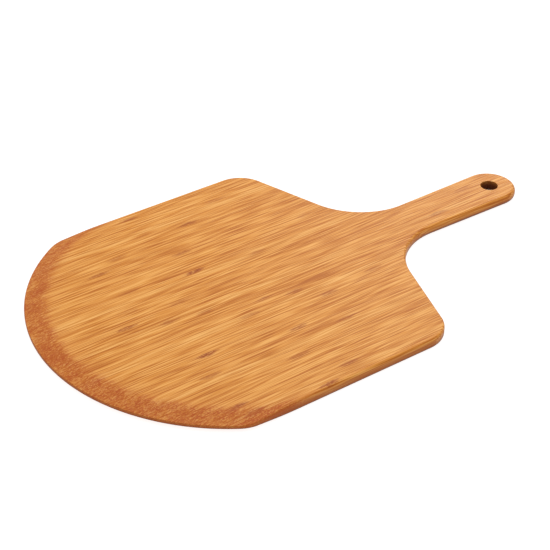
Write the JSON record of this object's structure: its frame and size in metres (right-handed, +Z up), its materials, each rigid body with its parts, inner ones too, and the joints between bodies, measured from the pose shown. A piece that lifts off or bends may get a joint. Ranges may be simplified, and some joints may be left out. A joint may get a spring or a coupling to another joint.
{
  "type": "pizza peel",
  "caption": "Flat bamboo pizza peel: a wide blade with a bevelled round front edge, a short handle and a hanging hole, glued up from side-by-side strips.",
  "frame": {"origin": "bottom centre of the whole board, on the surface that it lies on", "axes": "+X from the rounded front edge to the end of the handle, +Y to the right of someone holding the handle, +Z up"},
  "size_m": [0.488, 0.305, 0.009],
  "materials": {
    "bamboo": "sanded and oiled, satin"
  },
  "bodies": {
    "root": {"left_blade_strip_21": "bamboo", "left_blade_strip_20": "bamboo", "left_blade_strip_19": "bamboo", "left_blade_strip_18": "bamboo", "left_blade_strip_17": "bamboo", "left_blade_strip_16": "bamboo", "left_blade_strip_15": "bamboo", "left_blade_strip_14": "bamboo", "left_blade_strip_13": "bamboo", "left_blade_strip_12": "bamboo", "left_blade_strip_11": "bamboo", "left_blade_strip_10": "bamboo", "left_blade_strip_09": "bamboo", "left_blade_strip_08": "bamboo", "left_blade_strip_07": "bamboo", "left_blade_strip_06": "bamboo", "left_blade_strip_05": "bamboo", "left_blade_strip_04": "bamboo", "left_blade_strip_03": "bamboo", "left_blade_strip_02": "bamboo", "left_blade_strip_01": "bamboo", "handle_strip_1": "bamboo", "handle_strip_2": "bamboo", "handle_strip_3": "bamboo", "handle_strip_4": "bamboo", "handle_strip_4_end": "bamboo", "handle_strip_5": "bamboo", "handle_strip_5_end": "bamboo", "handle_strip_6": "bamboo", "handle_strip_7": "bamboo", "handle_strip_8": "bamboo", "right_blade_strip_01": "bamboo", "right_blade_strip_02": "bamboo", "right_blade_strip_03": "bamboo", "right_blade_strip_04": "bamboo", "right_blade_strip_05": "bamboo", "right_blade_strip_06": "bamboo", "right_blade_strip_07": "bamboo", "right_blade_strip_08": "bamboo", "right_blade_strip_09": "bamboo", "right_blade_strip_10": "bamboo", "right_blade_strip_11": "bamboo", "right_blade_strip_12": "bamboo", "right_blade_strip_13": "bamboo", "right_blade_strip_14": "bamboo", "right_blade_strip_15": "bamboo", "right_blade_strip_16": "bamboo", "right_blade_strip_17": "bamboo", "right_blade_strip_18": "bamboo", "right_blade_strip_19": "bamboo", "right_blade_strip_20": "bamboo", "right_blade_strip_21": "bamboo"}
  },
  "joints": []
}
